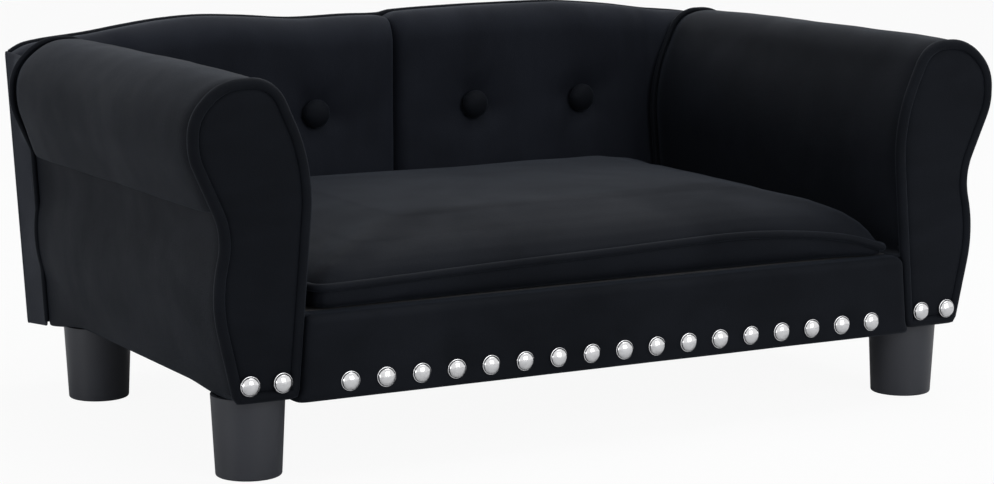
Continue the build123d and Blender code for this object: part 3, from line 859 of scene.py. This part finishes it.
def makeBackShell():
    # the outside cover: across the rear and forward round both ends
    s = backSettings
    corner = s["shellCorner"]
    levels = 46
    startY = armRear + 1.6
    ends = [startY + (s["rear"] - corner - armRear - 1.6) * i / 9 for i in range(10)]
    turns = [math.pi / 2 * i / 6 for i in range(1, 6)]
    rows = []
    for k in range(levels + 1):
        t = k / levels
        endZ = s["hem"] + (s["highZ"] + 0.6 - s["hem"]) * t
        wide = backHalf(endZ)
        half = []
        for y in ends:
            z = endZ + s["endLift"] * (1 - (y - armRear) / (s["rear"] - armRear)) * (1 - t) ** 3
            arm = max(faceAt(max(z, 66.0), True) - 1.0, wide)
            swell = (arm - wide) * eased(1 - (y - armRear) / 30) + 0.5 * wander(0, y, z, 30, 2) - 0.5
            half.append((wide + swell, y, z))
        for a in turns:
            x = wide - corner + corner * math.cos(a)
            half.append((x, s["rear"] - corner + corner * math.sin(a), endZ))
        row = [(-x, y, z) for x, y, z in half]
        halfX = backHalf(s["hem"] + (s["highZ"] - s["hem"]) * t) - corner
        for u in across(120):
            x = u * halfX
            high = backTop(x) - 1.2
            z = s["hem"] + (high - s["hem"]) * t + (1.3 * wander(x, 0, 0, 95, 9) - 0.6) * (1 - t) ** 6
            y = s["rear"] - 0.4 - 0.5 * abs(wander(x, 0, z, 80, 4))
            row.append((x, y, z))
        rows.append(row + half[::-1])
    shell = gridPiece("backShell", rows, (0, 150, 170))
    upholster(shell, s["shellWall"], "backVelvet", "back_outside_cover",
              "back_end_strip_left", "back_end_strip_right")


def makeBackBoard():
    # the board inside, its top kept under the padding's own dips
    s = backSettings
    low, high = boxOf("back_board")
    rows = []
    for u in across(80):
        topZ = backTop(u * high[0]) - s["boardShy"] - bump(s["boardNotch"], u * high[0])
        bottomX = u * backHalf(low[2], s["boardShy"])
        topX = u * backHalf(topZ, s["boardShy"])
        rows.append([(bottomX, low[1], low[2]), (bottomX, high[1], low[2]),
                     (topX, high[1], topZ), (topX, low[1], topZ)])
    for end in (0, -1):  # close both ends
        middle = tuple(sum(p[k] for p in rows[end]) / 4 for k in range(3))
        rows.insert(0 if end == 0 else len(rows), [middle] * 4)
    board = gridPiece("backBoard", rows, (0, (low[1] + high[1]) / 2, 170), joinColumns=True)
    board.data.shade_flat()
    dress(board, "sofa", "board", "pressedBoard", "back_board")


def makeBackWelt():
    s = backSettings
    path = []
    for u in across(240):
        x = s["weltHalf"] * u
        path.append((x, s["rear"] - s["weltShy"], backTop(x) - s["weltRadius"]))
    weltPiece("backWelt", path, False, s["weltRadius"], "sofa", "back_top_welt")


def makeButtons():
    s = backSettings
    r, rise = s["buttonRadius"], s["buttonRise"]
    outline = [(0.0, 1.0), (0.25, 0.975), (0.5, 0.88), (0.72, 0.72), (0.88, 0.50), (0.97, 0.24),
               (1.0, 0.0), (0.95, -0.18), (0.6, -0.25), (0.0, -0.25)]
    yBase = s["front"] + 3.0
    around = 40
    points, faces = [], []
    for side in (-1, 1):
        for bx in s["buttons"]:
            base = len(points)
            for share, height in outline:
                for k in range(around):
                    a = 2 * math.pi * k / around
                    crimp = 1 + 0.014 * math.cos(9 * a + bx) * share**3
                    fold = 0.12 * math.cos(7 * a + side) * share**4
                    points.append((side * bx + r * share * crimp * math.cos(a), yBase - rise * height + fold,
                                   s["buttonZ"] + r * share * crimp * math.sin(a)))
            for face in gridFaces(len(outline), around, joinColumns=True):
                faces.append(tuple(base + i for i in face))
    buttons = meshPiece("backButtons", points, faces)
    soften(buttons)
    dress(buttons, "sofa", "velvet", "pipingVelvet", "back_buttons")


for side, name in sides:
    makeRoll(side, name)
    makeSide(side, name)
    makeFacing(side, name)
    makeArmBack(side, name)
    makeWrap(side, name)
    makeArmWelts(side, name)
print("arms upholstered")

for side, name in sides:
    makeBackPanel(side, name)
makeBackShell()
makeBackBoard()
makeBackWelt()
makeButtons()
print("back upholstered")


# Front rail

railSettings = {
    "front": -209.0, "rear": -189.0, "low": 57.0, "high": 120.0, "round": 7.0, "gap": 0.7, "cornerRound": 5.5,
    "nailX": [(i - 8) * 28.8 for i in range(17)], "nailZ": 70.2,
    "headRadius": 7.0, "headRise": 4.5, "nailDent": (1.1, 7.0),
    "wall": 1.8, "folds": ((0.5, 48),), "ripples": ((0.2, 17),), "lowRound": 4,
}


def makeRail():
    s = railSettings
    front, rear, low, high = [s[key] for key in ("front", "rear", "low", "high")]
    r, lowR = s["round"], s["lowRound"]
    quarter = math.pi / 2
    section = [(rear, high)]
    section += [(rear + (front + r - rear) * i / 5, high) for i in range(1, 5)]
    for i in range(8):
        a = quarter * i / 7
        section.append((front + r - r * math.sin(a), high - r + r * math.cos(a)))
    section += [(front, high - r + (low + lowR - high + r) * i / 14) for i in range(1, 14)]
    for i in range(6):
        a = quarter * i / 5
        section.append((front + lowR - lowR * math.cos(a), low + lowR - lowR * math.sin(a)))
    section += [(front + lowR + (rear - front - lowR) * i / 4, low) for i in range(1, 5)]
    ends = [(0.0, 20.0), (0.0, 8.0), (0.35, 4.0), (1.3, 1.8), (3.0, 0.6), (6.0, 0.0)]
    rows = []
    for y, z in section:
        corner = max(0.0, 1 - (high - z) / s["cornerRound"])
        half = faceAt(max(z, low + lowR), False) - s["gap"] - s["cornerRound"] * rounding(corner)
        left = [(-half + inset, min(rear, y + back)) for inset, back in ends]
        middle = [(-half + 9 + (2 * half - 18) * i / 150, y) for i in range(151)]
        right = [(-x, b) for x, b in reversed(left)]
        row = []
        for x, depth in left + middle + right:
            onFront = bell(y - front, 4)
            dents = sum(bump(s["nailDent"], math.hypot(x - n, z - s["nailZ"])) for n in s["nailX"])
            soft = lumpsAt(s["folds"], x, 0, z, 1) + lumpsAt(s["ripples"], x, 0, z, 3)
            push = max(0.0, 1 - abs(x) / (half + 0.01)) ** 0.3
            row.append((x, depth + (dents - soft * push + 0.3) * onFront,
                        z + 0.35 * wander(x, y, 0, 60, 6) * (1 - onFront)))
        rows.append(row)
    rail = gridPiece("railCover", rows, (0, rear + 60, 90))
    upholster(rail, s["wall"], "armVelvet", "rail_cover", "rail_wadding")


def makeNails():
    s = railSettings
    sizes = {"Head radius": s["headRadius"] * mm, "Head rise": s["headRise"] * mm}
    near, far = armSettings["nailX"]
    sets = (
        ("railNails", s["nailX"], s["front"], s["nailZ"], "rail_nails", 4),
        ("armNails", (-far, -near, near, far), armFront, armSettings["nailZ"], "arm_nails", 9),
    )
    for name, places, y, z, node, seed in sets:
        nails = pathPiece(name, [(x, y, z) for x in places])
        growPiece(nails, nailHeads, dict(sizes, Seed=seed), "nailChrome")
        dress(nails, "sofa", "nails", "nailChrome", node)


makeRail()
makeNails()
print("front rail covered and nailed")


# Seat deck's lining

deckSettings = {"halfX": 266.0, "front": -189.5, "rear": 168.0, "stand": 0.25, "frontFold": (105.0, 113.0),
                "wall": 0.9, "waves": ((0.3, 120),), "ripples": ((0.12, 35),)}


def makeDeckLining():
    # stapled cloth, tucked under the arms and the back
    s = deckSettings
    lift = deckTop + s["stand"]
    rows = []
    for i in range(61):
        y = s["front"] + (s["rear"] - s["front"]) * i / 60
        row = []
        for u in across(80):
            x = s["halfX"] * u
            row.append((x, y, lift + lumpsAt(s["waves"], x, y, 0, 3) + lumpsAt(s["ripples"], x, y, 0, 8)))
        rows.append(row)
    for z in reversed(s["frontFold"]):  # down over the deck's front edge, behind the rail
        rows.insert(0, [(x, s["front"] - 0.2, z) for x, y, top in rows[0]])
    lining = gridPiece("deckLining", rows, (0, 0, 60))
    thicken(lining, s["wall"])
    dress(lining, "sofa", "lining", "liningCloth", "deck_lining")


makeDeckLining()
print("deck lined")


# Seat cushion

cushionSettings = {
    "halfX": 252.6, "halfY": 177.0, "middleY": -21.5, "corner": 13.0, "drawIn": 4.0,
    "low": 120.8, "seam": 140.8, "crown": 33.0, "baseRound": 7.0, "baseX": 0.984, "baseY": 0.972,
    "crownShares": [(0.0, 0.0), (0.035, 0.34), (0.08, 0.54), (0.15, 0.70), (0.31, 0.85), (0.53, 0.945),
                    (0.78, 1.0), (1.0, 1.0)],
    "baseShares": (0.0, 0.12, 0.3, 0.5, 0.7, 0.86, 1.0),
    "topShares": (0.012, 0.03, 0.05, 0.08, 0.11, 0.145, 0.19, 0.24, 0.31, 0.4, 0.53, 0.66, 0.78, 0.9, 1.0),
    "frontSeam": [  # how far the front seam rides above or below its plain height
        (-250, -3.5), (-200, -2.5), (-100, 0.5), (0, 3.0), (60, 5.0), (105, 6.0), (140, 5.0),
        (185, 1.0), (220, -5.0), (249, -14.0)],
    "weltRadius": 3.1, "weltOut": 1.0,
    "lumps": ((0.9, 85),), "ripples": ((0.35, 30),), "lumpFade": 14,
    "voxel": 5.0, "frames": 20, "cap": 7.0, "evenOut": 14, "keep": 0.75,
    "gripLow": 4, "gripSeam": 3.2, "gripShare": 0.93,   # where the cloth is held while it fills
    "cloth": {"quality": 6, "mass": 0.25, "tension_stiffness": 18, "compression_stiffness": 18,
              "shear_stiffness": 8, "bending_stiffness": 0.6, "use_pressure": True,
              "uniform_pressure_force": 4.0, "vertex_group_mass": "held"},
}


def cushionRing(inset=0.0):
    s = cushionSettings
    hx, hy, r = s["halfX"] - inset, s["halfY"] - inset, s["corner"]
    ring = []
    centres = ((hx - r, -hy + r), (hx - r, hy - r), (-hx + r, hy - r), (-hx + r, -hy + r))
    for quarter, (cx, cy) in enumerate(centres):
        for k in range(15):
            a = math.pi / 2 * (quarter - 1 + k / 14)
            ring.append((cx + r * math.cos(a), cy + r * math.sin(a)))
    made = []
    for p in evenly(ring, 4.0, closed=True):
        x = p.x - math.copysign(s["drawIn"] * max(0, 1 - (p.y / hy) ** 2) * (abs(p.x) / hx) ** 8, p.x)
        y = p.y - math.copysign(s["drawIn"] * max(0, 1 - (p.x / hx) ** 2) * (abs(p.y) / hy) ** 8, p.y)
        made.append(Vector((x, y)))
    return made


def seamShift(x, y):
    # the cloth sags at the front right corner and rides up in the middle of the front
    s = cushionSettings
    frontness = eased((60 - y) / (60 + s["halfY"]))
    return tableValue(s["frontSeam"], x) * frontness + 2.5 * (1 - frontness) * bell(abs(x) - s["halfX"], 60)


def warped(x, y, z):
    # a point of the plain cushion, in its own middle, taken to its settled place
    s = cushionSettings
    above = z - s["seam"]
    if above < 0:
        share = max(0.0, 1 + above / (s["seam"] - s["low"])) ** 0.8
    else:
        share = 1 - 0.75 * min(1.0, above / s["crown"]) ** 1.2
    return (x, y + s["middleY"], z + seamShift(x, y) * share)


def inflate(piece, held, s):
    # fill the cloth with air for a moment, keep what it does, and take the cloth off again
    rest = [v.co.copy() for v in piece.data.vertices]
    grips = [held(spot / mm) for spot in rest]
    group = piece.vertex_groups.new(name="held")
    for i, grip in enumerate(grips):
        if grip > 0:
            group.add([i], grip, "REPLACE")
    cloth = piece.modifiers.new("cloth", "CLOTH")
    for key, value in s["cloth"].items():
        setattr(cloth.settings, key, value)
    cloth.settings.effector_weights.gravity = 0
    cloth.point_cache.frame_start = 1
    cloth.point_cache.frame_end = s["frames"]
    for number in range(1, s["frames"] + 1):
        scene.frame_set(number)
    graph = bpy.context.evaluated_depsgraph_get()
    blown = piece.evaluated_get(graph).to_mesh()
    moved = [v.co.copy() for v in blown.vertices]
    piece.evaluated_get(graph).to_mesh_clear()
    piece.modifiers.clear()
    scene.frame_set(1)
    near = [[] for spot in rest]
    for edge in piece.data.edges:
        a, b = edge.vertices
        near[a].append(b)
        near[b].append(a)
    steps = [after - before for before, after in zip(rest, moved)]
    furthest = max(step.length for step in steps) / mm
    print("  cloth moved up to", round(furthest, 1), "mm on", len(rest), "points")
    for turn in range(s["evenOut"]):  # the filling evens out the sharpest creases
        steps = [(steps[i] + sum((steps[j] for j in near[i]), Vector()) / len(near[i])) * 0.5 * (1 - grips[i])
                 for i in range(len(steps))]
    limit = s["cap"] * mm
    for v, before, step in zip(piece.data.vertices, rest, steps):
        v.co = before + step * min(1.0, limit / max(step.length, limit)) * s["keep"]
    piece.vertex_groups.clear()


zipSettings = {
    "half": 150.0, "middle": 133.5, "tape": 4.2, "stand": 0.7, "tapeWall": 0.8,
    "tapeShares": (  # across the tape: share of its half width, and of the teeth's stand
        (-1, -0.5), (-0.9, 0.3), (-0.3, 0.5), (-0.2, 0.0), (0.2, 0.0), (0.3, 0.5), (0.9, 0.3), (1, -0.5)),
}


def makeZip(cushion):
    # two lines of tape and a row of teeth, laid on the filled cushion's rear
    s = zipSettings
    cloth = cushion.data
    net = BVHTree.FromPolygons([v.co for v in cloth.vertices], [f.vertices for f in cloth.polygons])

    def rearAt(x, z):
        return net.ray_cast(Vector((x, 300, z)) * mm, Vector((0, -1, 0)))[0].y / mm

    def lineAt(z, rise, count):
        places = [s["half"] * u for u in across(count)]
        return [(x, rearAt(x, z) + rise * s["stand"], z) for x in places]

    rows = [lineAt(s["middle"] + s["tape"] * share, rise, 100) for share, rise in s["tapeShares"]]
    tape = gridPiece("zipTape", rows, (0, 0, s["middle"]))
    thicken(tape, s["tapeWall"])
    dress(tape, "cushion", "zip", "liningCloth")
    teeth = pathPiece("zipTeeth", lineAt(s["middle"], 1, 120))
    growPiece(teeth, zipTeeth, {}, "zipCoil")
    dress(teeth, "cushion", "zip", "zipCoil", "cushion_zip")


def makeCushion():
    s = cushionSettings
    low, seam, baseRound = s["low"], s["seam"], s["baseRound"]
    ring = cushionRing()

    def level(wideX, wideY, z):
        return [(p.x * wideX, p.y * wideY, z) for p in ring]

    rows = []
    for share in s["baseShares"]:  # underside, from the middle out
        rows.append([(p.x * share * s["baseX"], p.y * share * s["baseY"], low) for p in ring])
    for k in range(1, 6):
        a = math.pi / 2 * k / 5
        wideX, wideY = [s[key] + (1 - s[key]) * math.sin(a) for key in ("baseX", "baseY")]
        rows.append(level(wideX, wideY, low + baseRound * (1 - math.cos(a))))
    rows.append(level(1, 1, (low + baseRound + seam) / 2))
    rows.append(level(1, 1, seam))
    for share in s["topShares"]:
        rows.append(level(1 - share, 1 - share, seam + s["crown"] * tableValue(s["crownShares"], share)))
    cushion = gridPiece("seatCushion", rows, (0, 0, 140), joinColumns=True)
    grid = cushion.modifiers.new("grid", "REMESH")
    grid.mode = "VOXEL"
    grid.voxel_size = s["voxel"] * mm
    settle(cushion)

    def held(p):
        reach = max(abs(p.x) / s["halfX"], abs(p.y) / s["halfY"])
        atSeam = abs(p.z - seam) < s["gripSeam"] and reach > s["gripShare"]
        return 1.0 if p.z < low + s["gripLow"] or atSeam else 0.0

    inflate(cushion, held, s)
    for v in cushion.data.vertices:
        x, y, z = v.co / mm
        lumps = lumpsAt(s["lumps"], x, y, z, 2) + lumpsAt(s["ripples"], x, y, z, 5)
        v.co = Vector(warped(x, y, z + lumps * unit((z - seam) / s["lumpFade"]))) * mm
    soften(cushion)
    dress(cushion, "cushion", "velvet", "cushionVelvet",
          "cushion_cover", "cushion_core", "cushion_base_panel")

    makeZip(cushion)
    path = [warped(p.x, p.y, seam) for p in cushionRing(-s["weltOut"])]
    weltPiece("cushionWelt", path, True, s["weltRadius"], "cushion", "cushion_welt")


makeCushion()
print("cushion filled and piped")


# Stage

stageSettings = {
    "paper": (0.93, 0.93, 0.93, 1), "fleck": (0.95, 0.95, 0.95, 1), "seenShare": 0.93, "halfWide": 9.0,
    "camera": (-1.0820, -1.9617, 0.4897), "turn": (80.7, 0.0, -29.0),
    "focal": 2772.5, "pictureWidth": 994, "sensor": 36.0,   # the first two in the photo's pixels
    "skySeen": ((1, 1, 1, 1), 1.0), "skyDim": ((0.95, 0.97, 1.0, 1), 0.35),
    "lamps": (  # name, place, size, power and aim
        ("lampOver", (0.5, 0.2, 2.1), 1.8, 16.5, (0, 0, 0.1)),
        ("lampLeft", (-2.4, -0.3, 0.3), 0.9, 10, (0, 0, 0.15)),
        ("lampFront", (0.3, -2.6, 1.2), 1.6, 24, (0, 0, 0.15))),
}


def paper():
    # the camera sees it white, and the light falls on a real surface
    s = stageSettings
    r = Recipe("stagePaper")
    fibre = r.grain(r.place(), 40.0, 3.0)
    light = r.node("ShaderNodeEmission", sockets={"Color": (1, 1, 1, 1), "Strength": 1.0})
    base = r.node("ShaderNodeBsdfPrincipled", sockets={
        "Base Color": r.blend(fibre, s["paper"], s["fleck"]), "Roughness": 0.9})
    seen = r.node("ShaderNodeLightPath", output="Is Camera Ray")
    return r.output(r.node("ShaderNodeMixShader", sockets={0: seen * s["seenShare"], 1: base, 2: light}))


def makeStage():
    s = stageSettings
    mesh = bpy.data.meshes.new("floor")
    wide = s["halfWide"]
    corners = [(-wide, -wide, 0), (wide, -wide, 0), (wide, wide, 0), (-wide, wide, 0)]
    mesh.from_pydata(corners, [], [(0, 1, 2, 3)])
    floor = placed("floor", mesh)
    mesh.materials.append(paper())

    scene.world = bpy.data.worlds.new("studio")
    scene.world.use_nodes = True
    sky = Maker(scene.world.node_tree)
    rays = [sky.node("ShaderNodeLightPath", output=kind) for kind in ("Is Camera Ray", "Is Glossy Ray")]
    seen = rays[0].sum("MAXIMUM", *rays)
    dim, white = [sky.node("ShaderNodeBackground", sockets={"Color": colour, "Strength": strength})
                  for colour, strength in (s["skyDim"], s["skySeen"])]
    mix = sky.node("ShaderNodeMixShader", sockets={0: seen, 1: dim, 2: white})
    sky.node("ShaderNodeOutputWorld", sockets={"Surface": mix})

    for name, spot, size, power, aim in s["lamps"]:
        lamp = bpy.data.lights.new(name, "AREA")
        lamp.size = size
        lamp.energy = power
        holder = placed(name, lamp)
        holder.location = spot
        holder.rotation_euler = (Vector(aim) - Vector(spot)).to_track_quat("-Z", "Y").to_euler()

    camera = bpy.data.cameras.new("viewpoint")
    camera.sensor_width = s["sensor"]
    camera.lens = s["focal"] * s["sensor"] / s["pictureWidth"]
    holder = placed("viewpoint", camera)
    holder.location = s["camera"]
    holder.rotation_euler = [math.radians(a) for a in s["turn"]]
    scene.camera = holder
    scene.view_settings.view_transform = "Standard"


makeStage()
print("stage lit")
